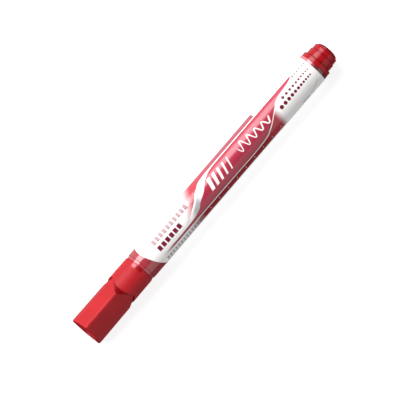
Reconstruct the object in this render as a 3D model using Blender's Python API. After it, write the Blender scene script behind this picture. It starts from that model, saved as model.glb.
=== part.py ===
"""A capped liquid-ink whiteboard marker, lying along X with its cap towards -X and one cap ridge up.

Stations are distances in millimetres along the marker's axis from the closed end of the cap.
The origin is on the resting surface, below the middle of the marker.
"""

from math import cos, hypot, pi, radians, sin

import bmesh
import bpy

MM = 0.001

# Whole marker
LENGTH = 138.0
SIDES = 40

# Cap: a body of six flat facets that meet at three ridges and three blunt creases, then a round collar
CAP_MOUTH = 30.4
COLLAR_R = 6.28
MOUTH_R = 6.2
MOUTH_ROUNDING = 0.35
FACET_R_END = 5.75
FACET_R_FRONT = 5.6
FACET_TURN = radians(45)
RIDGES = 3
RIDGE_SOFTNESS = radians(5)
CREASE_SOFTNESS = radians(4)
LOBE_STEPS = 10
VEE_TIP = 16.95
VEE_SLOPE = 0.85
TONGUE_TIP = 19.45
TONGUE_DEPTH = 1.9
TONGUE_STEP = 0.5
COLLAR_LEAD = 0.6
RIM_ROUNDING = 0.7
RIM_WALL = 1.2
RECESS_DEPTH = 4.0
RECESS_CORNER = 0.4
RECESS_DRAFT = 0.1
WEB = 1.2
BORE_DEEP_R = 5.0
BORE_MOUTH_R = 5.35
BORE_STEP = 20.6
SNAP_STATION = 27.2
SNAP_HEIGHT = 0.15
SNAP_CREST = 0.2
SNAP_FOOT = 0.6
VENT_SLOT = (2.6, 1.3)
VENT_R = 3.6

# Seal cup inside the cap
CUP_END = 6.4
CUP_MOUTH = 20.3
CUP_R = 4.3
CUP_WALL = 0.75
CUP_ROUNDING = 1.2
CUP_INNER_ROUNDING = 0.7
CUP_LIP = 0.4
CUP_FLANGE_R = 4.95
CUP_FLANGE = (13.5, 15.0)

# Nib
NIB_TIP = 8.4
NIB_R = 1.95
NIB_TIP_R = 0.8
NIB_SHOULDER = 11.0
NIB_END = 22.0
NIB_SOCKET_R = 1.2
NIB_SOCKET = 2.5

# Nib holder
NOSE = 11.7
NOSE_R = 2.75
SEAL_LAND = (16.9, 19.3)
SEAL_R = 3.45
SEAL_STEP = 0.25
NECK_START = 21.2
NECK_R = 4.85
NECK_TAPER = 2.0
CATCH_START = 28.1
CATCH_END = 29.3
CATCH_HEIGHT = 0.2
SHOULDER = (30.65, 31.55)
SHOULDER_R = 5.97
SPIGOT_END = 39.5
SPIGOT_R = 4.95
SPIGOT_RIB = 0.07
SPIGOT_RIBS = (33.7, 36.2)
SPIGOT_RIB_WIDTH = 0.8
NIB_BORE_R = 2.0
NIB_BORE_END = 22.3
WICK_BORE_R = 1.5
CHAMBER_START = 23.6
CHAMBER_R = 3.85

# Barrel, which is also the ink tank
BARREL_START = 31.75
BARREL_END = 129.6
BARREL_R = 6.2
SLEEVE_SEAT_R = 6.06
BAND_R = 6.12
BAND_CORNER = 0.1
FRONT_BORE_R = 5.08
TANK_BORE_R = 4.9
REAR_BORE_R = 5.08
TANK_LEDGE = 60.0
PLUG_SEAT = 121.0

# Printed sleeve, whose front edge is a slanting cut
SLEEVE_END = 128.4
SLEEVE_INNER_R = 6.09
SLEEVE_R = 6.2
SLEEVE_EDGE = 37.45
SLEEVE_SLANT = 3.5
SLEEVE_PHASE = radians(30)
SLEEVE_CORNER = 0.04
SLEEVE_GAP = 0.05

# Rear plug
PLUG_START = 129.75
PLUG_FLANGE_END = 131.45
PLUG_FLANGE_R = 6.02
PLUG_STEP_R = 5.26
PLUG_STEP_END = 134.37
PLUG_TOP_R = 4.92
PLUG_TOP_END = 136.4
PLUG_GROOVE = 0.28
PLUG_GROOVE_DEPTH = 0.22
PLUG_CORNER = 0.14
PLUG_TOP_ROUNDING = 0.4
PLUG_DOME_R = 4.3
PLUG_DOME_GROOVE = (136.9, 4.15)
PLUG_DOME_START = 136.95
PLUG_DOME_STEPS = 6
PLUG_HOLLOW_END = 135.0
PLUG_HOLLOW_R = 3.0
PLUG_SKIRT_START = 122.5
PLUG_SKIRT_R = 5.0
PLUG_SKIRT_WALL = 0.9

# Ink feed
BULKHEAD = (57.4, 59.8)
BULKHEAD_R = 5.0
BULKHEAD_HUB = (54.2, 63.0)
BULKHEAD_HUB_R = 2.3
BULKHEAD_BORE_R = 1.42
BUFFER = (24.0, 53.8)
BUFFER_R = 3.6
BUFFER_BORE_R = 1.5
WICK_R = 1.3
WICK_END = 66.0
INK = (63.4, 117.0)
INK_R = 4.7
INK_WELL_R = 1.7
INK_WELL_END = 67.0

CHAMFER = 0.3
SMALL_CHAMFER = 0.2
WICK_CLEARANCE = 0.45
AXIS_HEIGHT = COLLAR_R
UP = pi / 2
ROUNDING_STEPS = 4


def remove_everything():
    for obj in list(bpy.data.objects):
        bpy.data.objects.remove(obj)


def plastic(name, colour, roughness, alpha=1.0):
    """A Principled material of one colour, not metallic."""
    material = bpy.data.materials.new(name)
    material.use_nodes = True
    shader = material.node_tree.nodes["Principled BSDF"]
    shader.inputs["Base Color"].default_value = (*colour, 1.0)
    shader.inputs["Roughness"].default_value = roughness
    shader.inputs["Metallic"].default_value = 0.0
    shader.inputs["Alpha"].default_value = alpha
    return material


def finished(name, mesh_builder, material, parent):
    """An object made from a bmesh, shaded smooth except across its sharp edges."""
    bmesh.ops.recalc_face_normals(mesh_builder, faces=mesh_builder.faces)
    mesh = bpy.data.meshes.new(name)
    mesh_builder.to_mesh(mesh)
    mesh_builder.free()
    mesh.shade_smooth()
    mesh.set_sharp_from_angle(angle=radians(30))
    mesh.materials.append(material)
    obj = bpy.data.objects.new(name, mesh)
    bpy.context.scene.collection.objects.link(obj)
    obj.parent = parent
    return obj


def empty(name, station):
    """An empty on the marker's axis at a station, with the axis along its local X."""
    obj = bpy.data.objects.new(name, None)
    obj.location = ((station - LENGTH / 2) * MM, 0, AXIS_HEIGHT * MM)
    bpy.context.scene.collection.objects.link(obj)
    return obj


def arc(station, radius, along, across, start, end, steps=ROUNDING_STEPS):
    """Profile points on a quarter of an ellipse about (station, radius), between two angles in degrees."""
    points = []
    for step in range(steps + 1):
        angle = radians(start + (end - start) * step / steps)
        points.append((station + along * cos(angle), radius + across * sin(angle)))
    return points


def turned(name, profile, material, parent, through=False):
    """A solid of revolution about the axis from a profile of (station, radius) points.

    A profile that starts and ends on the axis makes a solid piece, and with through the profile is
    closed on itself, which leaves a bore.
    """
    builder = bmesh.new()
    verts = [builder.verts.new((s * MM, 0, r * MM)) for s, r in profile]
    edges = [builder.edges.new(pair) for pair in zip(verts, verts[1:])]
    if through:
        edges.append(builder.edges.new((verts[-1], verts[0])))
    bmesh.ops.spin(
        builder,
        geom=verts + edges,
        cent=(0, 0, 0),
        axis=(1, 0, 0),
        angle=2 * pi,
        steps=SIDES,
        use_merge=True,
    )
    bmesh.ops.remove_doubles(builder, verts=builder.verts, dist=1e-6)
    return finished(name, builder, material, parent)


def even_angles():
    return [UP + 2 * pi * side / SIDES for side in range(SIDES)]


def lobe_angles():
    """Angles round the cap, closer together at each ridge, where the surface turns fastest."""
    lobe = 2 * pi / RIDGES
    offsets = [lobe / 2 * (step / LOBE_STEPS) ** 1.6 for step in range(LOBE_STEPS + 1)]
    angles = []
    for ridge in range(RIDGES):
        centre = UP + lobe * ridge
        angles += [centre - offset for offset in reversed(offsets[1:-1])]
        angles += [centre + offset for offset in offsets]
    return angles


def level(station, radius):
    """A flat round ring."""
    return lambda angle: (station, radius)


def lofted(name, rings, angles, material, parent, through=False):
    """A solid skinned over rings, each a function from an angle to (station, radius).

    The first and last rings are filled, or joined to each other when the piece has a bore through it.
    """
    builder = bmesh.new()
    loops = []
    for ring in rings:
        loop = []
        for angle in angles:
            station, radius = ring(angle)
            across, up = radius * cos(angle), radius * sin(angle)
            loop.append(builder.verts.new((station * MM, across * MM, up * MM)))
        loops.append(loop)
    pairs = list(zip(loops, loops[1:]))
    if through:
        pairs.append((loops[-1], loops[0]))
    for near, far in pairs:
        for i in range(len(angles)):
            j = (i + 1) % len(angles)
            builder.faces.new((near[i], near[j], far[j], far[i]))
    if not through:
        builder.faces.new(loops[0])
        builder.faces.new(loops[-1])
    return finished(name, builder, material, parent)


def from_ridge(angle):
    """The angle to the nearest ridge, from 0 at the ridge to 60 degrees at a crease."""
    lobe = 2 * pi / RIDGES
    return abs((angle - UP + lobe / 2) % lobe - lobe / 2)


def body_radius(angle, facet_radius):
    """Radius of the six-sided section, whose facets lie at a distance from the axis.

    The turn from the nearest ridge is softened at both ends, which rounds the ridges and the creases.
    """
    to_crease = pi / RIDGES - hypot(from_ridge(angle), RIDGE_SOFTNESS)
    turn = pi / RIDGES - hypot(to_crease, CREASE_SOFTNESS)
    return facet_radius / cos(turn - FACET_TURN)


def facet_radius_at(station):
    """The body flares slightly towards the closed end."""
    return FACET_R_END + (FACET_R_FRONT - FACET_R_END) * station / VEE_TIP


def body_ring(station, inset=0.0):
    """A ring of the cap's body, drawn in from its surface by an inset."""
    return lambda angle: (station, body_radius(angle, facet_radius_at(station)) - inset)


def tongue_station(angle):
    """Where the round collar ends: a tongue that reaches furthest towards the closed end at each ridge."""
    return TONGUE_TIP + TONGUE_DEPTH * (1 - cos(1.5 * from_ridge(angle)))


def vee_ring(angle):
    """Where the facets start: a V at each ridge, whose arms run to the collar's edge."""
    radius = body_radius(angle, FACET_R_FRONT)
    arm = VEE_TIP + VEE_SLOPE * radius * sin(from_ridge(angle))
    return min(arm, tongue_station(angle) - TONGUE_STEP), radius


def tongue_foot_ring(angle):
    """The foot of the collar's step, level with the facets where they lie lower."""
    radius = min(COLLAR_R - TONGUE_STEP, body_radius(angle, FACET_R_FRONT))
    return tongue_station(angle) - TONGUE_STEP / 3, radius


def tongue_ring(inset):
    """The collar's edge, drawn in by an inset to break its corner."""
    return lambda angle: (tongue_station(angle) + inset, COLLAR_R - (TONGUE_STEP / 3 - inset))


def cap_outside():
    """Rings from the recess's edge, over the rim, along the facets and collar, to the mouth."""
    rings = [body_ring(0, RIM_WALL), body_ring(0, RIM_ROUNDING)]
    for step in range(1, ROUNDING_STEPS + 1):
        turn = pi / 2 * step / ROUNDING_STEPS
        rings.append(body_ring(RIM_ROUNDING * (1 - cos(turn)), RIM_ROUNDING * (1 - sin(turn))))
    rings += [body_ring(VEE_TIP / 2), vee_ring, tongue_foot_ring]
    rings += [tongue_ring(0), tongue_ring(TONGUE_STEP / 3)]
    rings.append(level(TONGUE_TIP + TONGUE_DEPTH + COLLAR_LEAD, COLLAR_R))
    mouth = arc(CAP_MOUTH - MOUTH_ROUNDING, MOUTH_R - MOUTH_ROUNDING, MOUTH_ROUNDING, MOUTH_ROUNDING, 90, 0)
    return rings + [level(*point) for point in mouth]


def cap_inside():
    """Rings from the mouth, up the stepped bore with its snap bead, to the web."""
    profile = [
        (CAP_MOUTH, BORE_MOUTH_R + SMALL_CHAMFER),
        (CAP_MOUTH - SMALL_CHAMFER, BORE_MOUTH_R),
        (SNAP_STATION + SNAP_FOOT, BORE_MOUTH_R),
        (SNAP_STATION + SNAP_CREST, BORE_MOUTH_R - SNAP_HEIGHT),
        (SNAP_STATION - SNAP_CREST, BORE_MOUTH_R - SNAP_HEIGHT),
        (SNAP_STATION - SNAP_FOOT, BORE_MOUTH_R),
        (BORE_STEP, BORE_MOUTH_R),
        (BORE_STEP - (BORE_MOUTH_R - BORE_DEEP_R), BORE_DEEP_R),
        (RECESS_DEPTH + WEB, BORE_DEEP_R),
    ]
    return [level(*point) for point in profile]


def cut(target, cutter):
    modifier = target.modifiers.new(cutter.name, "BOOLEAN")
    modifier.operation = "DIFFERENCE"
    modifier.solver = "EXACT"
    modifier.object = cutter


def vent_cutter(index, parent):
    """A box that opens a vent slot through the web, in line with a crease."""
    angle = UP + 2 * pi * (index + 0.5) / RIDGES
    length, width = VENT_SLOT
    builder = bmesh.new()
    bmesh.ops.create_cube(builder, size=MM)
    bmesh.ops.scale(builder, vec=(3 * WEB, width, length), verts=builder.verts)
    bmesh.ops.bevel(
        builder,
        geom=[edge for edge in builder.edges if abs((edge.verts[0].co - edge.verts[1].co).x) > WEB * MM],
        offset=0.45 * width * MM,
        segments=3,
        affect="EDGES",
    )
    cutter = finished(f"vent_cutter_{index}", builder, plastic(f"cutter_{index}", (1, 1, 1), 0.5), parent)
    cutter.location = (
        (RECESS_DEPTH + WEB / 2) * MM,
        VENT_R * cos(angle) * MM,
        VENT_R * sin(angle) * MM,
    )
    cutter.rotation_euler = (angle + UP, 0, 0)
    cutter.hide_render = True
    cutter.display_type = "WIRE"
    return cutter


def cap_shell(parent):
    wall = RIM_WALL + RECESS_DRAFT
    recess = [body_ring(RECESS_DEPTH, wall + RECESS_CORNER), body_ring(RECESS_DEPTH - RECESS_CORNER, wall)]
    rings = recess + cap_outside() + cap_inside()
    material = plastic("cap_red", (0.42, 0.012, 0.018), 0.4)
    shell = lofted("cap_shell", rings, lobe_angles(), material, parent)
    for index in range(RIDGES):
        cut(shell, vent_cutter(index, parent))


def cap_seal_cup(parent):
    """A closed cup whose mouth seals on the nib holder; its flange grips the cap's bore."""
    inner = CUP_R - CUP_WALL
    start, end = CUP_FLANGE
    profile = [(CUP_END, 0)]
    profile += arc(CUP_END + CUP_ROUNDING, CUP_R - CUP_ROUNDING, CUP_ROUNDING, CUP_ROUNDING, 180, 90)
    profile += [(start, CUP_R), (start + SMALL_CHAMFER, CUP_FLANGE_R)]
    profile += [(end - SMALL_CHAMFER, CUP_FLANGE_R), (end, CUP_R)]
    profile += [(CUP_MOUTH, CUP_R), (CUP_MOUTH, inner + CHAMFER), (CUP_MOUTH - CUP_LIP, inner)]
    inner_end = CUP_END + CUP_WALL
    fillet = CUP_INNER_ROUNDING
    profile += arc(inner_end + fillet, inner - fillet, fillet, fillet, 90, 180)
    profile.append((inner_end, 0))
    turned("cap_seal_cup", profile, plastic("seal_cup_white", (0.8, 0.79, 0.76), 0.4), parent)


def writing_nib(parent):
    """A bullet nib with a conical socket in its rear end for the wick."""
    profile = arc(NIB_TIP + NIB_TIP_R, 0, NIB_TIP_R, NIB_TIP_R, 180, 120)
    profile += [(NIB_SHOULDER, NIB_R), (NIB_END, NIB_R), (NIB_END, NIB_SOCKET_R), (NIB_END - NIB_SOCKET, 0)]
    turned("writing_nib", profile, plastic("nib_red", (0.42, 0.005, 0.012), 0.8), parent)


def ridge(start, end, radius, height, ramp):
    """Profile points of a low ridge with a ramp at each end."""
    crest = radius + height
    return [(start, radius), (start + ramp, crest), (end - ramp, crest), (end, radius)]


def nib_holder(parent):
    """The front section: nose, seal land, neck for the cap, shoulder, and a ribbed hollow spigot."""
    profile = [(NOSE, NIB_BORE_R), (NOSE, NOSE_R - CHAMFER), (NOSE + CHAMFER, NOSE_R)]
    profile += ridge(*SEAL_LAND, SEAL_R - SEAL_STEP, SEAL_STEP, CHAMFER)
    profile += [(NECK_START - CHAMFER, SEAL_R - SEAL_STEP), (NECK_START, NECK_R - CHAMFER)]
    profile.append((NECK_START + NECK_TAPER, NECK_R))
    profile += ridge(CATCH_START, CATCH_END, NECK_R, CATCH_HEIGHT, CHAMFER)
    start, end = SHOULDER
    corner = SMALL_CHAMFER
    profile += [(start, NECK_R), (start, SHOULDER_R - corner), (start + corner, SHOULDER_R)]
    profile += [(end - corner, SHOULDER_R), (end, SHOULDER_R - corner), (end, SPIGOT_R)]
    for rib in SPIGOT_RIBS:
        profile += ridge(rib, rib + SPIGOT_RIB_WIDTH, SPIGOT_R, SPIGOT_RIB, SMALL_CHAMFER)
    profile += [(SPIGOT_END - CHAMFER, SPIGOT_R), (SPIGOT_END, SPIGOT_R - CHAMFER)]
    profile += [(SPIGOT_END, CHAMBER_R), (CHAMBER_START, CHAMBER_R), (CHAMBER_START, WICK_BORE_R)]
    profile += [(NIB_BORE_END, WICK_BORE_R), (NIB_BORE_END, NIB_BORE_R)]
    material = plastic("holder_red", (0.42, 0.009, 0.016), 0.2)
    turned("nib_holder", profile, material, parent, through=True)


def sleeve_edge(angle):
    """Station of the sleeve's slanting front edge."""
    return SLEEVE_EDGE - SLEEVE_SLANT * cos(angle - UP + SLEEVE_PHASE)


def barrel_tank(parent):
    """The barrel: a glossy collar in front of the sleeve's seat, and a stepped bore that holds the ink."""
    rings = [
        level(BARREL_START, FRONT_BORE_R + SMALL_CHAMFER),
        level(BARREL_START, BARREL_R - SMALL_CHAMFER),
        level(BARREL_START + SMALL_CHAMFER, BARREL_R),
        lambda angle: (sleeve_edge(angle) - SLEEVE_GAP, BARREL_R),
        lambda angle: (sleeve_edge(angle) - SLEEVE_GAP, SLEEVE_SEAT_R),
        level(SLEEVE_END + SLEEVE_GAP, SLEEVE_SEAT_R),
        level(SLEEVE_END + 2 * SLEEVE_GAP, BAND_R),
        level(BARREL_END - BAND_CORNER, BAND_R),
        level(BARREL_END, BAND_R - BAND_CORNER),
        level(BARREL_END, REAR_BORE_R),
        level(PLUG_SEAT, REAR_BORE_R),
        level(PLUG_SEAT - CHAMFER, TANK_BORE_R),
        level(TANK_LEDGE, TANK_BORE_R),
        level(TANK_LEDGE, FRONT_BORE_R),
        level(BARREL_START + SMALL_CHAMFER, FRONT_BORE_R),
    ]
    material = plastic("barrel_red", (0.45, 0.04, 0.06), 0.12, alpha=0.6)
    lofted("barrel_tank", rings, even_angles(), material, parent, through=True)


def label_sleeve(parent):
    rings = [
        lambda angle: (sleeve_edge(angle), SLEEVE_INNER_R),
        lambda angle: (sleeve_edge(angle), SLEEVE_R - SLEEVE_CORNER),
        lambda angle: (sleeve_edge(angle) + SLEEVE_CORNER, SLEEVE_R),
        level(SLEEVE_END - SLEEVE_CORNER, SLEEVE_R),
        level(SLEEVE_END, SLEEVE_R - SLEEVE_CORNER),
        level(SLEEVE_END, SLEEVE_INNER_R),
    ]
    material = plastic("label_white", (0.93, 0.92, 0.91), 0.25)
    lofted("label_sleeve", rings, even_angles(), material, parent, through=True)


def plug_outline(start, end, radius, groove):
    """One step of the plug, with broken corners and a groove of the given depth behind it."""
    return [
        (start, radius - PLUG_CORNER),
        (start + PLUG_CORNER, radius),
        (end - PLUG_CORNER, radius),
        (end, radius - PLUG_CORNER),
        (end, groove),
        (end + PLUG_GROOVE, groove),
    ]


def rear_plug(parent):
    """Stepped plug: flange, two rings and a low dome outside, and a hollow skirt in the barrel's end."""
    profile = plug_outline(PLUG_START, PLUG_FLANGE_END, PLUG_FLANGE_R, PLUG_STEP_R - PLUG_GROOVE_DEPTH)
    second = PLUG_FLANGE_END + PLUG_GROOVE
    profile += plug_outline(second, PLUG_STEP_END, PLUG_STEP_R, PLUG_TOP_R - PLUG_GROOVE_DEPTH)
    third = PLUG_STEP_END + PLUG_GROOVE
    profile += [(third, PLUG_TOP_R - PLUG_CORNER), (third + PLUG_CORNER, PLUG_TOP_R)]
    rounding = PLUG_TOP_ROUNDING
    profile += arc(PLUG_TOP_END, PLUG_TOP_R - rounding, rounding, rounding, 90, 10)
    profile.append(PLUG_DOME_GROOVE)
    height = LENGTH - PLUG_DOME_START
    profile += arc(PLUG_DOME_START, 0, height, PLUG_DOME_R, 80, 0, steps=PLUG_DOME_STEPS)
    inner = PLUG_SKIRT_R - PLUG_SKIRT_WALL
    profile += [(PLUG_HOLLOW_END, 0), (PLUG_HOLLOW_END - SMALL_CHAMFER, PLUG_HOLLOW_R)]
    profile += [(PLUG_FLANGE_END, inner - CHAMFER), (PLUG_SKIRT_START, inner)]
    profile += [(PLUG_SKIRT_START, PLUG_SKIRT_R - CHAMFER), (PLUG_SKIRT_START + CHAMFER, PLUG_SKIRT_R)]
    profile += [(PLUG_START, PLUG_SKIRT_R), profile[0]]
    turned("rear_plug", profile, plastic("plug_red", (0.38, 0.006, 0.012), 0.2), parent)


def feed_wick(parent):
    """A capillary rod with a conical tip in the nib's socket and its rear end in the ink."""
    tip = NIB_END - NIB_SOCKET + WICK_CLEARANCE
    cone = WICK_R * NIB_SOCKET / NIB_SOCKET_R
    profile = [(tip, 0), (tip + cone, WICK_R), (WICK_END - CHAMFER, WICK_R)]
    profile += [(WICK_END, WICK_R - CHAMFER), (WICK_END, 0)]
    turned("feed_wick", profile, plastic("wick_white", (0.7, 0.55, 0.52), 0.9), parent)


def capillary_buffer(parent):
    start, end = BUFFER
    profile = [(start, BUFFER_BORE_R), (start, BUFFER_R - CHAMFER), (start + CHAMFER, BUFFER_R)]
    profile += [(end - CHAMFER, BUFFER_R), (end, BUFFER_R - CHAMFER), (end, BUFFER_BORE_R)]
    material = plastic("buffer_white", (0.75, 0.6, 0.58), 0.95)
    turned("capillary_buffer", profile, material, parent, through=True)


def tank_bulkhead(parent):
    """The partition: a disc on the barrel's ledge with a hub that grips the wick."""
    hub_start, hub_end = BULKHEAD_HUB
    start, end = BULKHEAD
    profile = [(hub_start, BULKHEAD_BORE_R), (hub_start, BULKHEAD_HUB_R), (start, BULKHEAD_HUB_R)]
    corner = SMALL_CHAMFER
    profile += [(start, BULKHEAD_R - corner), (start + corner, BULKHEAD_R), (end, BULKHEAD_R)]
    profile += [(end, BULKHEAD_HUB_R), (hub_end, BULKHEAD_HUB_R - CHAMFER), (hub_end, BULKHEAD_BORE_R)]
    material = plastic("bulkhead_white", (0.8, 0.79, 0.77), 0.4)
    turned("tank_bulkhead", profile, material, parent, through=True)


def ink_fill(parent):
    """The ink, as one body with a well for the end of the wick."""
    start, end = INK
    profile = [(INK_WELL_END, 0), (INK_WELL_END, INK_WELL_R), (start, INK_WELL_R), (start, INK_R - CHAMFER)]
    profile += [(start + CHAMFER, INK_R), (end - CHAMFER, INK_R), (end, INK_R - CHAMFER), (end, 0)]
    turned("ink_fill", profile, plastic("ink_red", (0.3, 0.0, 0.01), 0.05, alpha=0.9), parent)


def main():
    remove_everything()
    marker_axis = empty("marker_axis", 0)
    cap_slide = empty("cap_slide", 0)
    cap_shell(cap_slide)
    cap_seal_cup(cap_slide)
    for piece in (writing_nib, nib_holder, barrel_tank, label_sleeve, rear_plug):
        piece(marker_axis)
    for piece in (feed_wick, capillary_buffer, tank_bulkhead, ink_fill):
        piece(marker_axis)


main()
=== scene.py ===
"""Looks of the capped whiteboard marker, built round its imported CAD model.

Stations are millimetres along the marker from the closed end of the cap. Turns are angles round its axis
from the cap's top ridge, positive towards -Y, which is the lower side of the printed artwork. Radii and
the other sizes of the shapes are in millimetres too.
"""

from math import cos, hypot, pi, radians, sin

import bmesh
import bpy
from mathutils import Matrix, Vector


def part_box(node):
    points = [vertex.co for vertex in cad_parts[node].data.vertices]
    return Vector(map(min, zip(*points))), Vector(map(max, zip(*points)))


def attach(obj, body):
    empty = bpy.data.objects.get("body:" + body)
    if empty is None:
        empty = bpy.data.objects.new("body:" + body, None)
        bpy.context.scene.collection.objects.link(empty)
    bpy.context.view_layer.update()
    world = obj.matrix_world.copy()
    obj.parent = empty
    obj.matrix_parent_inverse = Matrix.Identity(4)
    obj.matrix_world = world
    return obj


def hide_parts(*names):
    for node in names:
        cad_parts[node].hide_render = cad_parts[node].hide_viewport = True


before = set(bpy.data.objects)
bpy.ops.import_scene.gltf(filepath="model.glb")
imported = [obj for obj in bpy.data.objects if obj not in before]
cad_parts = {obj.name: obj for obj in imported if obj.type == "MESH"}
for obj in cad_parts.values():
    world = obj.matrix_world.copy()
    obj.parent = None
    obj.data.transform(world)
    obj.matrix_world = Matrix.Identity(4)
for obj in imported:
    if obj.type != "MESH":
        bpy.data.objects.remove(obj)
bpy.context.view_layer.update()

MM = 0.001
TURN_STEPS = 128
CORNER_STEPS = 4
SHARP_ANGLE = radians(32)
# Clearance that keeps faceted rounds inside the CAD model's box
SKIN = 0.01

# Where the marker lies, from the frame
CAP_LOW, CAP_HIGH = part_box("cap_shell")
SLEEVE_LOW, SLEEVE_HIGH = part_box("label_sleeve")
BARREL_LOW, BARREL_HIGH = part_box("barrel_tank")
PLUG_LOW, PLUG_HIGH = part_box("rear_plug")
HOLDER_LOW, HOLDER_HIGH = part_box("nib_holder")
NIB_LOW, NIB_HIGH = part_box("writing_nib")
START_X = CAP_LOW.x
AXIS_Z = (BARREL_LOW.z + BARREL_HIGH.z) / 2


def station_of(x):
    return (x - START_X) / MM


def radius_of(low, high):
    return (high.y - low.y) / 2 / MM


LENGTH = station_of(PLUG_HIGH.x)
CAP_MOUTH = station_of(CAP_HIGH.x)
COLLAR_R = (AXIS_Z - CAP_LOW.z) / MM
SLEEVE_R = radius_of(SLEEVE_LOW, SLEEVE_HIGH)
SLEEVE_END = station_of(SLEEVE_HIGH.x)
BARREL_R = radius_of(BARREL_LOW, BARREL_HIGH)
BARREL_END = station_of(BARREL_HIGH.x)
SHOULDER_R = radius_of(HOLDER_LOW, HOLDER_HIGH)
FLANGE_R = radius_of(PLUG_LOW, PLUG_HIGH)
NOSE = station_of(HOLDER_LOW.x)
SPIGOT_END = station_of(HOLDER_HIGH.x)
NIB_TIP = station_of(NIB_LOW.x)
NIB_END = station_of(NIB_HIGH.x)
NIB_R = radius_of(NIB_LOW, NIB_HIGH)
SKIRT_START = station_of(PLUG_LOW.x)

# Cap's body: six facets, which meet at three ridges and three creases between them
RIDGES = 3
LOBE = 2 * pi / RIDGES
LOBE_STEPS = 28
RIDGE_SOFTNESS = radians(5)
CREASE_SOFTNESS = radians(4)
FACET_TURN = radians(45)
FACET_R_END = 5.75
FACET_R_FRONT = 5.6

# Cap's step from body to collar: each ridge ends in a V, and the collar starts in a curved tongue
VEE_TIP = 16.95
VEE_SLOPE = 0.85
TONGUE_TIP = 19.45
TONGUE_DEPTH = 1.9
TONGUE_CURVE = 1.5
TONGUE_STEP = 0.35

# Cap's closed end: a rim round a recess, whose floor is a web with vents
RIM_ROUNDING = 1.1
RIM_WALL = 1.2
RECESS_DEPTH = 4.0
WEB = 1.2
VENT_SLOT = (2.6, 1.3)
VENT_R = 3.6

# Cap's bore and mouth
BORE_DEEP_R = 5.0
BORE_MOUTH_R = 5.35
BORE_STEP = 20.6
MOUTH_R = 6.2
LIP_LENGTH = 1.6
SNAP = 27.2
SNAP_REACH = 0.6
SNAP_HEIGHT = 0.2

# Nib holder
SHOULDER = (30.48, 31.7)
NOSE_R = 2.75
SEAL = (16.9, 19.3)
SEAL_R = 3.2
SEAL_HEIGHT = 0.25
NECK_START = 20.8
NECK = (21.2, 23.2)
NECK_R = 4.85
NECK_SNAP = (28.1, 29.3)
SPIGOT_R = 4.95
SPIGOT_RIBS = (33.7, 36.2)
RIB_LENGTH = 0.8
HOLDER_BORE_R = 3.85
HOLDER_BORE_START = 23.6
NIB_SOCKET_R = 1.5
NIB_CLEARANCE = 0.05

# Barrel
BARREL_FRONT = SHOULDER[1] + 0.02
BARREL_MOUTH_R = 5.6
BARREL_BORE_R = 5.08
TANK_R = 4.9
TANK = (60.0, 121.0)
TANK_RAMP = 0.3
SEAT_DEPTH = 0.14
BAND_DEPTH = 0.08
FIT_GAP = 0.05

# Sleeve, whose front edge slants
SLEEVE_EDGE = 37.45
SLEEVE_SLANT = 3.5
SLEEVE_PHASE = radians(30)
SLEEVE_THICKNESS = 0.11

# Rear plug: a flange, two steps with a groove at the foot of each, and a dome
FLANGE_END = 131.45
STEP_END = 134.37
TOP_END = 136.4
STEP_R = 5.26
TOP_R = 4.92
DOME_R = 4.3
SKIRT_R = 5.0
SKIRT_BORE = (4.1, 3.7, 3.0)
SKIRT_BORE_ENDS = (131.0, 134.8, 135.0)
GROOVE_WIDTH = 0.28
GROOVE_DEPTH = 0.22
DOME_STEPS = 12

# Nib
NIB_POINT_R = 0.75
NIB_SHOULDER = 11.0
NIB_TAIL_R = 1.2
NIB_TAIL_CONE = 2.5


# ---------------------------------------------------------------- shapes


def softened(profile):
    """Profile points (station, radius, setback), with each corner rounded over its setback."""
    points = []
    for i, (station, radius, setback) in enumerate(profile):
        corner = Vector((station, radius))
        if setback == 0 or i in (0, len(profile) - 1):
            points.append(corner)
            continue
        before = Vector(profile[i - 1][:2]) - corner
        after = Vector(profile[i + 1][:2]) - corner
        reach_before = min(setback, 0.45 * before.length)
        reach_after = min(setback, 0.45 * after.length)
        first = corner + before.normalized() * reach_before
        last = corner + after.normalized() * reach_after
        for step in range(CORNER_STEPS + 1):
            t = step / CORNER_STEPS
            points.append(first * (1 - t) ** 2 + corner * 2 * t * (1 - t) + last * t**2)
    return points


def even_turns():
    return [2 * pi * i / TURN_STEPS for i in range(TURN_STEPS)]


def lobe_turns():
    """Turns round the cap, closer together at each ridge, where the surface turns fastest."""
    crowding = 1.6
    offsets = [LOBE / 2 * (step / LOBE_STEPS) ** crowding for step in range(LOBE_STEPS + 1)]
    turns = []
    for ridge in range(RIDGES):
        centre = LOBE * ridge
        turns += [centre - offset for offset in reversed(offsets[1:-1])]
        turns += [centre + offset for offset in offsets]
    return turns


def place(station, radius, turn):
    """A point in the frame from its station, radius and turn."""
    return Vector((START_X + station * MM, -radius * sin(turn) * MM, AXIS_Z + radius * cos(turn) * MM))


def skinned(name, profile_at, turns, closed=False):
    """A mesh object skinned over one profile per turn. All profiles have the same number of points."""
    builder = bmesh.new()
    columns = []
    for turn in turns:
        points = softened(profile_at(turn))
        columns.append([builder.verts.new(place(*point, turn)) for point in points])
    rows = len(columns[0])
    for i, column in enumerate(columns):
        following = columns[(i + 1) % len(columns)]
        for j in range(rows if closed else rows - 1):
            k = (j + 1) % rows
            builder.faces.new((column[j], following[j], following[k], column[k]))
    bmesh.ops.remove_doubles(builder, verts=builder.verts, dist=1e-7)
    bmesh.ops.dissolve_degenerate(builder, edges=builder.edges, dist=1e-7)
    bmesh.ops.recalc_face_normals(builder, faces=builder.faces)
    return object_from(name, builder)


def object_from(name, builder):
    mesh = bpy.data.meshes.new(name)
    builder.to_mesh(mesh)
    builder.free()
    mesh.shade_smooth()
    mesh.set_sharp_from_angle(angle=SHARP_ANGLE)
    piece = bpy.data.objects.new(name, mesh)
    bpy.context.scene.collection.objects.link(piece)
    return piece


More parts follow.
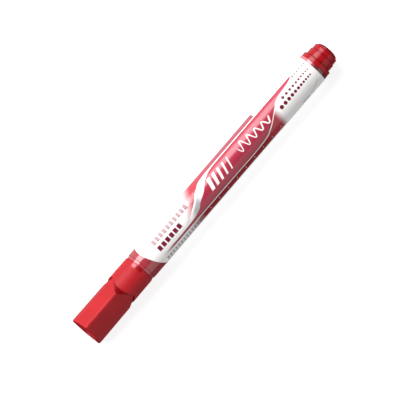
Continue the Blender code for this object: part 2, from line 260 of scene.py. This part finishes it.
def turned(name, profile, closed=False):
    """A piece with the same profile at every turn."""
    return skinned(name, lambda turn: profile, even_turns(), closed)


def from_ridge(turn):
    """Turn from the nearest ridge."""
    return abs((turn + LOBE / 2) % LOBE - LOBE / 2)


def body_radius(turn, facet_radius):
    """Radius of the cap's six-sided body, whose facets lie at a distance from the axis.

    The turn from the nearest ridge is softened at both ends, which rounds the ridges and the creases.
    """
    to_crease = LOBE / 2 - hypot(from_ridge(turn), RIDGE_SOFTNESS)
    softened_turn = LOBE / 2 - hypot(to_crease, CREASE_SOFTNESS)
    return facet_radius / cos(softened_turn - FACET_TURN)


def radius_at(turn, station):
    """Radius of the body at a station. It flares slightly towards the closed end."""
    return body_radius(turn, FACET_R_END + (FACET_R_FRONT - FACET_R_END) * station / VEE_TIP)


def cap_profile(turn):
    """From the middle of the recess floor, over the rim and body, to the mouth and back to the web."""
    bend = cos(TONGUE_CURVE * from_ridge(turn))
    tongue = TONGUE_TIP + TONGUE_DEPTH * (1 - bend)
    front = body_radius(turn, FACET_R_FRONT)
    vee = min(VEE_TIP + VEE_SLOPE * front * sin(from_ridge(turn)), tongue - TONGUE_STEP)
    foot = min(COLLAR_R - TONGUE_STEP * bend**2, front)
    end = radius_at(turn, 0)
    return [
        (RECESS_DEPTH, 0, 0),
        (RECESS_DEPTH, radius_at(turn, RECESS_DEPTH) - RIM_WALL - 0.1, 0.4),
        (0, end - RIM_WALL, 0.14),
        (0, end - SKIN, RIM_ROUNDING),
        (VEE_TIP / 2, radius_at(turn, VEE_TIP / 2) - SKIN, 0),
        (vee, front - SKIN, 0.12),
        (tongue - TONGUE_STEP / 3, foot, 0.05),
        (tongue, COLLAR_R - SKIN, 0.2),
        (TONGUE_TIP + TONGUE_DEPTH + 0.6, COLLAR_R - SKIN, 0),
        (CAP_MOUTH - SKIN, MOUTH_R, 0.35),
        (CAP_MOUTH - SKIN, BORE_MOUTH_R + 0.2, 0.06),
        (CAP_MOUTH - 0.3, BORE_MOUTH_R, 0.06),
        (SNAP + SNAP_REACH, BORE_MOUTH_R, 0.1),
        (SNAP, BORE_MOUTH_R - SNAP_HEIGHT, 0.2),
        (SNAP - SNAP_REACH, BORE_MOUTH_R, 0.1),
        (BORE_STEP, BORE_MOUTH_R, 0.1),
        (BORE_STEP - 0.35, BORE_DEEP_R, 0.1),
        (RECESS_DEPTH + WEB, BORE_DEEP_R, 0.3),
        (RECESS_DEPTH + WEB, 0, 0),
    ]


def vent_cutter(index):
    """A rounded bar across the web, at the middle of a face."""
    turn = LOBE * (index + 0.5)
    length, width = VENT_SLOT
    builder = bmesh.new()
    bmesh.ops.create_cube(builder, size=MM)
    bmesh.ops.scale(builder, vec=(3 * WEB, width, length), verts=builder.verts)
    along = [e for e in builder.edges if abs((e.verts[0].co - e.verts[1].co).x) > WEB * MM]
    rounding = 0.48 * width * MM
    bmesh.ops.bevel(builder, geom=along, offset=rounding, segments=6, affect="EDGES")
    aligned = Matrix.Rotation(turn, 3, "X")
    bmesh.ops.rotate(builder, cent=(0, 0, 0), matrix=aligned, verts=builder.verts)
    middle = place(RECESS_DEPTH + WEB / 2, VENT_R, turn)
    bmesh.ops.translate(builder, vec=middle, verts=builder.verts)
    return object_from(f"vent_cutter_{index}", builder)


def cut_away(piece, cutters):
    """Cuts the cutters out of a piece and removes them."""
    for cutter in cutters:
        modifier = piece.modifiers.new(cutter.name, "BOOLEAN")
        modifier.operation = "DIFFERENCE"
        modifier.solver = "EXACT"
        modifier.object = cutter
    graph = bpy.context.evaluated_depsgraph_get()
    mesh = bpy.data.meshes.new_from_object(piece.evaluated_get(graph))
    piece.modifiers.clear()
    piece.data = mesh
    mesh.shade_smooth()
    mesh.set_sharp_from_angle(angle=SHARP_ANGLE)
    for cutter in cutters:
        bpy.data.objects.remove(cutter)


def sleeve_edge(turn):
    """Station of the sleeve's slanting front edge."""
    return SLEEVE_EDGE - SLEEVE_SLANT * cos(turn + SLEEVE_PHASE)


def barrel_profile(turn):
    """Out along the glossy front and the sleeve's seat to the rear band, and back through the bore."""
    seat, band = BARREL_R - SEAT_DEPTH, BARREL_R - BAND_DEPTH
    edge = sleeve_edge(turn) - FIT_GAP
    return [
        (BARREL_FRONT, BARREL_MOUTH_R, 0),
        (BARREL_FRONT, BARREL_R, 0.05),
        (edge, BARREL_R, 0.03),
        (edge, seat, 0),
        (SLEEVE_END + FIT_GAP, seat, 0),
        (SLEEVE_END + FIT_GAP, band, 0.03),
        (BARREL_END, band, 0.1),
        (BARREL_END, BARREL_BORE_R, 0.05),
        (TANK[1], BARREL_BORE_R, 0),
        (TANK[1] - TANK_RAMP, TANK_R, 0),
        (TANK[0], TANK_R, 0),
        (TANK[0], BARREL_BORE_R, 0),
        (BARREL_FRONT, BARREL_BORE_R, 0.1),
    ]


def sleeve_profile(turn):
    """A thin film round the barrel's seat."""
    edge, inner = sleeve_edge(turn), SLEEVE_R - SLEEVE_THICKNESS
    return [
        (edge + 0.5, inner, 0),
        (edge, inner, 0),
        (edge, SLEEVE_R, 0.04),
        (SLEEVE_END, SLEEVE_R, 0.04),
        (SLEEVE_END, inner, 0),
    ]


def grooved_step(start, end, radius, setback):
    """A step with a groove at its foot."""
    return [
        (start, radius - GROOVE_DEPTH, 0.05),
        (start + GROOVE_WIDTH, radius - GROOVE_DEPTH, 0.05),
        (start + GROOVE_WIDTH, radius, 0.12),
        (end, radius, setback),
    ]


def plug_profile():
    """Flange, two steps, a low dome, and the hollow skirt inside the barrel."""
    flange_start = BARREL_END + FIT_GAP
    profile = [
        (flange_start, SKIRT_R, 0),
        (flange_start, FLANGE_R, 0.16),
        (FLANGE_END, FLANGE_R, 0.2),
    ]
    profile += grooved_step(FLANGE_END, STEP_END, STEP_R, 0.2)
    profile += grooved_step(STEP_END, TOP_END + 0.2, TOP_R, 0.5)
    profile.append((TOP_END + 0.3, DOME_R - 0.1, 0.08))
    dome_start = TOP_END + 0.45
    for step in range(1, DOME_STEPS + 1):
        angle = pi / 2 * step / DOME_STEPS
        profile.append((dome_start + (LENGTH - dome_start) * sin(angle), DOME_R * cos(angle), 0))
    skirt_foot, skirt_top, skirt_floor = SKIRT_BORE_ENDS
    return profile + [
        (skirt_floor, 0, 0),
        (skirt_top, SKIRT_BORE[2], 0.5),
        (skirt_foot, SKIRT_BORE[1], 0.3),
        (SKIRT_START, SKIRT_BORE[0], 0.1),
        (SKIRT_START, SKIRT_R, 0.3),
        (flange_start, SKIRT_R, 0),
    ]


def rib(start, end, ramp, radius, height, setback):
    """A raised ring with sloping sides."""
    return [
        (start, radius, setback),
        (start + ramp, radius + height, setback),
        (end - ramp, radius + height, setback),
        (end, radius, setback),
    ]


def holder_profile():
    """Nose, seal land, neck with its snap rib, shoulder, ribbed spigot, and back through the bore."""
    profile = [
        (NOSE, NIB_R + NIB_CLEARANCE, 0),
        (NOSE, NOSE_R, 0.3),
    ]
    profile += rib(*SEAL, 0.3, SEAL_R, SEAL_HEIGHT, 0.1)
    profile += [
        (NECK_START, SEAL_R, 0.2),
        (NECK[0], NECK_R - 0.3, 0.2),
        (NECK[1], NECK_R, 0.3),
    ]
    profile += rib(*NECK_SNAP, 0.3, NECK_R, 0.2, 0.1)
    profile += [
        (SHOULDER[0], NECK_R, 0.1),
        (SHOULDER[0], SHOULDER_R, 0.1),
        (SHOULDER[1], SHOULDER_R, 0.1),
        (SHOULDER[1], SPIGOT_R, 0.05),
    ]
    for start in SPIGOT_RIBS:
        profile += rib(start, start + RIB_LENGTH, 0.2, SPIGOT_R, 0.07, 0)
    return profile + [
        (SPIGOT_END, SPIGOT_R, 0.3),
        (SPIGOT_END, HOLDER_BORE_R, 0.1),
        (HOLDER_BORE_START, HOLDER_BORE_R, 0.1),
        (HOLDER_BORE_START, NIB_SOCKET_R, 0.1),
        (NIB_END + 0.3, NIB_SOCKET_R, 0),
        (NIB_END + 0.3, NIB_R + NIB_CLEARANCE, 0),
    ]


def nib_profile():
    """A bullet point, a straight body and a tail hollowed to a cone for the wick."""
    return [
        (NIB_TIP, 0, 0),
        (NIB_TIP, NIB_POINT_R, 0.6),
        (NIB_SHOULDER, NIB_R, 0.9),
        (NIB_END, NIB_R, 0.1),
        (NIB_END, NIB_TAIL_R, 0),
        (NIB_END - NIB_TAIL_CONE, 0, 0),
    ]


# ---------------------------------------------------------------- materials


def srgb(red, green, blue):
    """A linear colour from 0-255 display values."""
    linear = []
    for value in (red, green, blue):
        share = value / 255
        linear.append(share / 12.92 if share <= 0.04045 else ((share + 0.055) / 1.055) ** 2.4)
    return (*linear, 1.0)


class Value:
    """A number that varies over a surface. Arithmetic on it makes Math nodes."""

    def __init__(self, tree, socket):
        self.tree = tree
        self.socket = socket

    def math(self, operation, *others):
        node = self.tree.nodes.new("ShaderNodeMath")
        node.operation = operation
        for socket, item in zip(node.inputs, (self, *others)):
            if isinstance(item, Value):
                self.tree.links.new(item.socket, socket)
            else:
                socket.default_value = item
        return Value(self.tree, node.outputs[0])

    def __add__(self, other):
        return self.math("ADD", other)

    def __sub__(self, other):
        return self.math("SUBTRACT", other)

    def __mul__(self, other):
        return self.math("MULTIPLY", other)

    def __truediv__(self, other):
        return self.math("DIVIDE", other)

    def rise(self, start, end):
        """0 below start and 1 above end, smooth between them. With start above end it falls."""
        node = self.tree.nodes.new("ShaderNodeMapRange")
        node.interpolation_type = "SMOOTHSTEP"
        self.tree.links.new(self.socket, node.inputs["Value"])
        node.inputs["From Min"].default_value = start
        node.inputs["From Max"].default_value = end
        return Value(self.tree, node.outputs["Result"])

    def over(self, level, blur=0.08):
        """1 where this is over a level, with a soft edge."""
        return (self - level).rise(-blur / 2, blur / 2)

    def under(self, level, blur=0.08):
        return (self - level).rise(blur / 2, -blur / 2)

    def near(self, level, width, blur=0.08):
        """1 within half a width of a level."""
        return (self - level).math("ABSOLUTE").under(width / 2, blur)

    def along(self, points):
        """A smooth function of this number through points (here, there)."""
        heres = [here for here, there in points]
        theres = [there for here, there in points]
        low, high = min(theres), max(theres)
        scaled = self.tree.nodes.new("ShaderNodeMapRange")
        self.tree.links.new(self.socket, scaled.inputs["Value"])
        scaled.inputs["From Min"].default_value = heres[0]
        scaled.inputs["From Max"].default_value = heres[-1]
        node = self.tree.nodes.new("ShaderNodeFloatCurve")
        curve = node.mapping.curves[0]
        span = heres[-1] - heres[0]
        ends = (points[0], points[-1])
        for stop, (here, there) in zip((curve.points[0], curve.points[-1]), ends):
            stop.location = ((here - heres[0]) / span, (there - low) / (high - low))
        for here, there in points[1:-1]:
            curve.points.new((here - heres[0]) / span, (there - low) / (high - low))
        node.mapping.update()
        self.tree.links.new(scaled.outputs["Result"], node.inputs["Value"])
        return Value(self.tree, node.outputs["Value"]) * (high - low) + low


class Material:
    """A Principled material with helpers for its procedural inputs."""

    def __init__(self, name):
        self.data = bpy.data.materials.new(name)
        self.data.use_nodes = True
        self.tree = self.data.node_tree
        self.shader = self.tree.nodes["Principled BSDF"]
        self.place = self.tree.nodes.new("ShaderNodeTexCoord").outputs["Object"]

    def set(self, **settings):
        for name, value in settings.items():
            self.shader.inputs[name.replace("_", " ")].default_value = value

    def link(self, item, name):
        socket = item.socket if isinstance(item, Value) else item
        self.tree.links.new(socket, self.shader.inputs[name])

    def noise(self, size_mm, detail=2.0, stretch=(1, 1, 1)):
        """Noise from 0 to 1 in blobs about size_mm across, longer along an axis with a small stretch."""
        mapping = self.tree.nodes.new("ShaderNodeMapping")
        mapping.inputs["Scale"].default_value = stretch
        self.tree.links.new(self.place, mapping.inputs["Vector"])
        node = self.tree.nodes.new("ShaderNodeTexNoise")
        node.inputs["Scale"].default_value = 1 / (size_mm * MM)
        node.inputs["Detail"].default_value = detail
        self.tree.links.new(mapping.outputs["Vector"], node.inputs["Vector"])
        return Value(self.tree, node.outputs["Fac"])

    def mixed(self, share, first, second):
        """A colour that goes from first to second as share goes from 0 to 1."""
        node = self.tree.nodes.new("ShaderNodeMix")
        node.data_type = "RGBA"
        self.tree.links.new(share.socket, node.inputs["Factor"])
        for socket, colour in ((node.inputs["A"], first), (node.inputs["B"], second)):
            if isinstance(colour, tuple):
                socket.default_value = colour
            else:
                self.tree.links.new(colour, socket)
        return node.outputs["Result"]

    def overlay(self, share, colour):
        """Lays a colour over the base colour where share is 1."""
        under = self.shader.inputs["Base Color"].links[0].from_socket
        self.link(self.mixed(share, under, colour), "Base Color")

    def bump(self, height, depth_mm):
        """Relief that is depth_mm deep where height goes from 0 to 1."""
        node = self.tree.nodes.new("ShaderNodeBump")
        node.inputs["Strength"].default_value = 1.0
        node.inputs["Distance"].default_value = depth_mm * MM
        self.tree.links.new(height.socket, node.inputs["Height"])
        self.tree.links.new(node.outputs["Normal"], self.shader.inputs["Normal"])

    def coordinates(self):
        """(station in mm, distance round the sleeve in mm from the top ridge, positive towards -Y)."""
        node = self.tree.nodes.new("ShaderNodeSeparateXYZ")
        self.tree.links.new(self.place, node.inputs[0])
        x, y, z = (Value(self.tree, output) for output in node.outputs)
        station = (x - START_X) / MM
        turn = (y * -1).math("ARCTAN2", z - AXIS_Z)
        return station, turn * SLEEVE_R


def share_of(colour, factor):
    return (*(channel * factor for channel in colour[:3]), 1.0)


def moulded(name, colour, roughness, gloss=0.5, grain_mm=0.12, depth_mm=0.002):
    """Injection-moulded plastic: fine grain, faint flow clouds, and a few hairline scuffs along it."""
    material = Material(name)
    clouds = material.noise(6.0, 3.0)
    grain = material.noise(grain_mm, 2.0)
    scuffs = material.noise(0.5, 4.0, stretch=(0.08, 1, 1)).rise(0.62, 0.75)
    tint = material.mixed(clouds.rise(0.3, 0.7), colour, share_of(colour, 0.9))
    material.link(tint, "Base Color")
    material.link((grain * 0.05) + (scuffs * 0.05) + (roughness - 0.03), "Roughness")
    material.bump(grain + scuffs * 0.4 + clouds * 2.0, depth_mm)
    material.set(Specular_IOR_Level=gloss)
    return material


def translucent(name, colour, roughness, transmission, gloss=0.5):
    """Tinted clear moulding, with the faint ripples that the mould's flow leaves."""
    material = moulded(name, colour, roughness, gloss, grain_mm=0.4, depth_mm=0.0015)
    material.set(Transmission_Weight=transmission, IOR=1.49)
    return material


def cap_plastic():
    """Satin plastic. Painted shade darkens the hollow at the collar, and the thin lip carries a painted
    highlight and a painted dark patch in place of the barrel seen through it.
    """
    material = moulded("cap_plastic", srgb(173, 29, 36), 0.5, gloss=0.2)
    station, around = material.coordinates()
    ridge = (around / SLEEVE_R).math("PINGPONG", LOBE / 2)
    tongue = (ridge * TONGUE_CURVE).math("COSINE") * -TONGUE_DEPTH + (TONGUE_TIP + TONGUE_DEPTH)
    vee = ridge.math("SINE") * (VEE_SLOPE * FACET_R_FRONT) + VEE_TIP
    # Painted shade: the hollow between each ridge's V and the collar's tongue is painted a darker red.
    valley_shade = (station - vee).over(0, 0.2) * (station - tongue).under(0, 0.2)
    material.overlay(valley_shade, srgb(128, 0, 10))
    lip = station.over(CAP_MOUTH - LIP_LENGTH, 0.8)
    # Painted highlight on the lip, and a painted shade patch beside it, standing in for the barrel's
    # highlight and shade seen through the thin wall.
    material.overlay(lip * around.near(-1.9, 1.6, 0.8), srgb(238, 118, 128))
    material.overlay(lip * around.near(0.6, 2.6, 0.8), srgb(140, 4, 14))
    return material


def barrel_plastic():
    """Clear tinted plastic. On the rear band past the sleeve, painted light makes the upper side pale
    pink and painted shade darkens the lower side.
    """
    material = translucent("barrel_plastic", srgb(170, 58, 68), 0.12, 0.12, gloss=1.0)
    station, around = material.coordinates()
    band = station.over(SLEEVE_END)
    # Painted light on the band's upper side and painted shade on its lower side.
    material.overlay(band * around.rise(1.0, -2.5), srgb(206, 120, 130))
    material.overlay(band * around.rise(-0.5, 1.5), srgb(112, 44, 50))
    return material


def fibre(name, colour, size_mm=0.05):
    """Bundled fibre, with its strands along the marker."""
    material = Material(name)
    strands = material.noise(size_mm, 3.0, stretch=(0.05, 1, 1))
    tint = material.mixed(strands.rise(0.35, 0.65), share_of(colour, 0.55), colour)
    material.link(tint, "Base Color")
    material.set(Roughness=0.85)
    material.bump(strands, 0.02)
    return material


# Inks of the printed artwork
PAPER = srgb(249, 247, 246)
RED = srgb(179, 50, 74)
DEEP_RED = srgb(150, 22, 38)
BRIGHT_RED = srgb(176, 44, 58)
CORAL = srgb(184, 52, 66)
DUSKY_CORAL = srgb(168, 70, 86)
SILVER = srgb(172, 174, 176)
GREY = srgb(92, 78, 84)
MAROON = srgb(118, 22, 46)

# Artwork, in mm: stations, and distances round the sleeve from the top ridge, positive towards -Y
ART_END = 120.2
CORAL_END = 100.4
CORAL_TOP = -8.6
FOOT_BOTTOM = 8.6
PANEL_TOP = -4.4
RIBBON_TOP = -4.9
FOOT_TOP = 5.35
PANEL_RISE = [(55, 4.1), (59.6, 3.5), (63.3, 1.55), (67.2, -0.2), (68.8, -1.4), (71.9, -3.2), (76, -4.25)]
RIBBON_RISE = [(58, 1.6), (60.1, 0.6), (62, -0.45), (63.9, -1.9), (66, -3.0), (68.8, -4.4), (72.5, -4.85)]
FOOT_RISE = [(97.3, 4.9), (100.4, 3.8), (104, 1.85), (107.2, -0.05), (112, -2.2), (117, -2.75)]
STRIPES_START = 70.0
STRIPE_PITCH = 2.6
WAVE = (87.0, 104.0)


def level(height, stations):
    """Points of a level stretch."""
    return [(station, height) for station in stations]


def art_panel(material, station, across):
    """The red panel on pale paper, with a pale ribbon and coral band above, an outline and a red foot."""
    upper = station.along([(38, 4.2)] + PANEL_RISE + level(PANEL_TOP, (84, 96, 108, 121)))
    ribbon = station.along([(54, 4.0)] + RIBBON_RISE + level(RIBBON_TOP, (84, 96, 108, 121)))
    lower = station.along(level(FOOT_TOP, (38, 80, 92)) + FOOT_RISE + [(120.4, -3.9)])

    coral = (station + across * 0.52).rise(54.5, 62.0) * (across - ribbon).under(0)
    coral = coral * station.under(CORAL_END) * across.rise(CORAL_TOP, CORAL_TOP + 0.6)
    coral_ink = material.mixed(station.rise(64, 80), CORAL, DUSKY_CORAL)
    colour = material.mixed(coral, PAPER, coral_ink)

    shade = (across - ribbon).over(0) * (across - upper).under(0)
    silver = station.rise(56, 60) * station.rise(66, 62) * (across - ribbon).rise(0.2, 1.2)
    colour = material.mixed(shade, colour, PAPER)
    colour = material.mixed(shade * silver, colour, SILVER)

    foot = (across - lower).over(0.2) * across.under(FOOT_BOTTOM, 0.2)
    foot = foot * station.rise(52, 62) * station.rise(108.3, 105.0)
    foot_ink = material.mixed(station.rise(94, 104), DEEP_RED, BRIGHT_RED)
    colour = material.mixed(foot, colour, foot_ink)
    outline = (across - lower).near(0, 0.48) * station.over(56, 8.0) * station.under(ART_END - 0.4)
    colour = material.mixed(outline, colour, PAPER)

    panel = (across - upper).over(0) * (across - lower).under(-0.15)
    panel = panel * station.under(ART_END) * station.rise(38.5, 46)
    # Painted shade: the panel's red ink is painted darker towards the lower side.
    panel_ink_and_shade = material.mixed(across.rise(-4.5, 5.0), RED, share_of(RED, 0.8))
    colour = material.mixed(panel, colour, panel_ink_and_shade)
    edge = panel * (across - upper).under(0.4) * station.over(76, 6.0)
    return material.mixed(edge * 0.7, colour, DEEP_RED)


def art_dots(station, across):
    """Three rows of dots that shrink and draw together towards the rear.

    Each row has a start, a height, a count, a first gap and how fast it narrows, a radius and its shrink.
    """
    dots = None
    rows = (
        (109.6, 1.42, 11, 2.17, 0.057, 0.82, 0.046),
        (112.5, -0.7, 10, 2.10, 0.062, 0.64, 0.036),
        (120.7, -3.32, 6, 1.33, 0.001, 0.38, 0.016),
    )
    for start, centre, count, gap, narrowing, radius, shrink in rows:
        travel = (station - start) * (4 * narrowing)
        order = ((travel * -1 + gap**2).math("MAXIMUM", 0).math("SQRT") * -1 + gap) / (2 * narrowing)
        index = order.math("ROUND")
        sideways = (order - index) * (index * (-2 * narrowing) + gap)
        upwards = across - centre
        distance = (sideways * sideways + upwards * upwards).math("SQRT")
        spot = (distance - (index * -shrink + radius)).under(0, 0.1)
        spot = spot * index.over(-0.5, 0.01) * index.under(count - 0.5, 0.01)
        dots = spot if dots is None else dots + spot
    return dots


def blocks(station, across, start, pitch, count, width, centre, height):
    """A row of plain rectangles."""
    order = (station - start) / pitch
    index = order.math("FLOOR")
    sideways = (order - index) * pitch - width / 2
    row = sideways.near(0, width) * across.near(centre, height)
    return row * index.over(-0.5, 0.01) * index.under(count - 0.5, 0.01)


def art_blocks(station, across):
    """Plain marks in place of wording on the pale ground: a pale row, a dark row, and fine dashes."""
    pale = blocks(station, across, 39.8, 1.95, 10, 1.4, -1.8, 2.2)
    dark = blocks(station, across, 39.8, 2.15, 6, 1.6, 1.45, 2.0)
    fine = blocks(station, across, 40.0, 1.5, 13, 1.05, 6.7, 0.75)
    fine = fine + blocks(station, across, 40.0, 1.5, 13, 1.05, 7.9, 0.75)
    fine = fine + blocks(station, across, 100.8, 1.25, 15, 0.85, -5.85, 0.7)
    fine = fine + blocks(station, across, 116.4, 4.0, 1, 3.8, 7.75, 0.5)
    sweep = station.along([(120.6, 7.2), (122.2, 7.05), (124, 6.5), (126.2, 4.9)])
    fine = fine + (across - sweep).near(0, 0.22) * station.near(123.4, 5.6)
    return pale, dark, fine


def art_marks(station, across):
    """Pale marks on the panel: slanting stripes that narrow, then a wavy pen stroke."""
    slant = station + across * 0.35 - STRIPES_START
    cell = (slant / STRIPE_PITCH).math("FLOOR")
    inside = (slant - cell * STRIPE_PITCH - 0.9).math("ABSOLUTE")
    stripes = (inside - (cell * -0.13 + 0.8)).under(0) * across.near(0.1, 4.6)
    stripes = stripes * slant.over(0, 0.02) * slant.under(5 * STRIPE_PITCH, 0.02)
    phase = (station - WAVE[0]) * 1.75
    swing = station.rise(*WAVE) * -0.9 + 1.9
    height = phase.math("SINE") * swing + (station - 95) * 0.09
    slope = phase.math("COSINE") * 3.0
    steep = (slope * slope + 1).math("SQRT")
    stroke = ((across - height) / steep).near(0, 0.42) * station.under(WAVE[1]) * station.over(WAVE[0])
    return stripes + stroke


def art_ticks(station, across):
    """Short ticks across the red foot, at even spaces along it."""
    cell = ((station - 62.05) / 4.97).math("FRACT")
    return cell.near(0.5, 0.05, 0.02) * across.near(6.9, 0.9) * station.near(83.5, 43)


def printed_sleeve():
    """Printed film: the artwork under a glossy surface with very faint ink texture."""
    material = Material("printed_film")
    station, across = material.coordinates()
    colour = art_panel(material, station, across)
    pale, dark, fine = art_blocks(station, across)
    colour = material.mixed(pale * 0.85, colour, MAROON)
    colour = material.mixed(dark, colour, MAROON)
    colour = material.mixed(fine * 0.8, colour, GREY)
    colour = material.mixed(art_marks(station, across), colour, PAPER)
    colour = material.mixed(art_ticks(station, across), colour, srgb(232, 190, 196))
    colour = material.mixed(art_dots(station, across), colour, MAROON)
    material.link(colour, "Base Color")
    grain = material.noise(0.15, 2.0)
    material.link(grain * 0.06 + 0.2, "Roughness")
    material.set(Specular_IOR_Level=0.62)
    material.bump(grain, 0.0012)
    return material


# ---------------------------------------------------------------- pieces


def piece_for(node, made, body, material):
    """A finished piece that stands for a CAD node and rides on its body."""
    made.data.materials.clear()
    made.data.materials.append(material.data)
    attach(made, body)
    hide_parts(node)


def build_pieces():
    cap = skinned("cap", cap_profile, lobe_turns())
    cut_away(cap, [vent_cutter(index) for index in range(RIDGES)])
    piece_for("cap_shell", cap, "cap", cap_plastic())
    barrel = skinned("barrel", barrel_profile, even_turns(), closed=True)
    piece_for("barrel_tank", barrel, "barrel", barrel_plastic())
    sleeve = skinned("sleeve", sleeve_profile, even_turns(), closed=True)
    piece_for("label_sleeve", sleeve, "barrel", printed_sleeve())
    plug = turned("plug", plug_profile())
    plug_look = moulded("plug_plastic", srgb(165, 18, 28), 0.2, gloss=0.3)
    piece_for("rear_plug", plug, "barrel", plug_look)
    holder = turned("holder", holder_profile(), closed=True)
    holder_look = translucent("holder_plastic", srgb(178, 60, 72), 0.15, 0.1, gloss=1.0)
    piece_for("nib_holder", holder, "barrel", holder_look)
    nib = turned("nib", nib_profile())
    nib_look = fibre("nib_fibre", srgb(176, 14, 28))
    piece_for("writing_nib", nib, "barrel", nib_look)


def dress_inner_nodes():
    """Materials of the inner CAD nodes, which keep their own shapes."""
    looks = {
        "cap_seal_cup": moulded("seal_cup_plastic", srgb(226, 222, 216), 0.4),
        "tank_bulkhead": moulded("bulkhead_plastic", srgb(228, 226, 222), 0.4),
        "feed_wick": fibre("wick_fibre", srgb(214, 150, 146)),
        "capillary_buffer": fibre("buffer_fibre", srgb(222, 170, 164), 0.15),
        "ink_fill": translucent("ink_liquid", srgb(120, 6, 16), 0.03, 0.3),
    }
    for node, material in looks.items():
        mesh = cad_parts[node].data
        mesh.materials.clear()
        mesh.materials.append(material.data)


# ---------------------------------------------------------------- studio


def standing(location, x_axis, y_axis, z_axis):
    """The matrix of an object at a location with its own axes along three directions."""
    turned_axes = Matrix((x_axis, y_axis, z_axis)).transposed().to_4x4()
    return Matrix.Translation(location) @ turned_axes


def camera():
    """A long lens nearly overhead, tilted towards the cap's end. The marker climbs to the right."""
    distance, lens = 5.0, 1222.0
    tilt, side, climb = radians(6.5), radians(5.5), radians(49.24)
    aim_station, aim_right, aim_up = 63.13, 1.08, 0.74
    aim = Vector((START_X + aim_station * MM, 0, AXIS_Z))
    back = Vector((-sin(tilt), -cos(tilt) * sin(side), cos(tilt) * cos(side)))
    along = (Vector((1, 0, 0)) - back * back.x).normalized()
    across = back.cross(along)
    right = along * cos(climb) - across * sin(climb)
    up = along * sin(climb) + across * cos(climb)
    aim += (right * aim_right + up * aim_up) * MM
    data = bpy.data.cameras.new("camera")
    data.lens = lens
    data.sensor_width = 36.0
    data.clip_start = 0.01
    data.clip_end = 10.0
    rig = bpy.data.objects.new("camera", data)
    rig.matrix_world = standing(aim + back * distance, right, up, back)
    bpy.context.scene.collection.objects.link(rig)
    bpy.context.scene.camera = rig


def softbox(name, turn, distance, shift, size, power, mirrored=True):
    """A rectangular light facing the marker, at a turn round it in degrees and shifted along it."""
    data = bpy.data.lights.new(name, "AREA")
    data.shape = "RECTANGLE"
    data.size, data.size_y = size
    data.energy = power
    light = bpy.data.objects.new(name, data)
    towards = Vector((0, -sin(radians(turn)), cos(radians(turn))))
    along = Vector((1, 0, 0))
    across = towards.cross(along)
    location = Vector((shift, 0, AXIS_Z)) + towards * distance
    light.matrix_world = standing(location, along, across, towards)
    light.visible_camera = False
    light.visible_glossy = mirrored
    bpy.context.scene.collection.objects.link(light)


def floor():
    """A pale light table: it glows, so shadows on it stay faint, and only the camera sees it."""
    builder = bmesh.new()
    bmesh.ops.create_grid(builder, x_segments=1, y_segments=1, size=3.0)
    ground = object_from("floor", builder)
    material = bpy.data.materials.new("pale_floor")
    material.use_nodes = True
    paint = material.node_tree.nodes["Principled BSDF"]
    paint.inputs["Base Color"].default_value = (0.3, 0.3, 0.3, 1)
    paint.inputs["Roughness"].default_value = 0.9
    paint.inputs["Specular IOR Level"].default_value = 0.0
    paint.inputs["Emission Color"].default_value = (1, 1, 1, 1)
    paint.inputs["Emission Strength"].default_value = 0.85
    ground.data.materials.append(material)
    ground.visible_glossy = False
    ground.visible_diffuse = False
    ground.visible_transmission = False
    ground.visible_shadow = False


def surroundings():
    """Dim overhead and below, with a bright wall on the +Y side."""
    world = bpy.data.worlds.new("studio")
    world.use_nodes = True
    tree = world.node_tree
    direction = tree.nodes.new("ShaderNodeSeparateXYZ")
    tree.links.new(tree.nodes.new("ShaderNodeTexCoord").outputs["Generated"], direction.inputs[0])
    wall = Value(tree, direction.outputs["Y"]).rise(0.2, 0.9) * 0.8 + 0.07
    tree.links.new(wall.socket, tree.nodes["Background"].inputs["Strength"])
    tree.nodes["Background"].inputs["Color"].default_value = (1, 1, 1, 1)
    bpy.context.scene.world = world


def studio():
    """Key from the +Y side, fill from the -Y side, and a low bounce that the gloss doesn't mirror."""
    surroundings()
    softbox("key", turn=-41, distance=0.6, shift=-0.25, size=(1.0, 0.44), power=8.9)
    softbox("fill", turn=63, distance=0.9, shift=-0.25, size=(1.4, 0.92), power=3.2)
    softbox("bounce", turn=120, distance=0.9, shift=0, size=(1.4, 0.9), power=5.6, mirrored=False)
    floor()
    bpy.context.scene.view_settings.view_transform = "Standard"


build_pieces()
dress_inner_nodes()
studio()
camera()
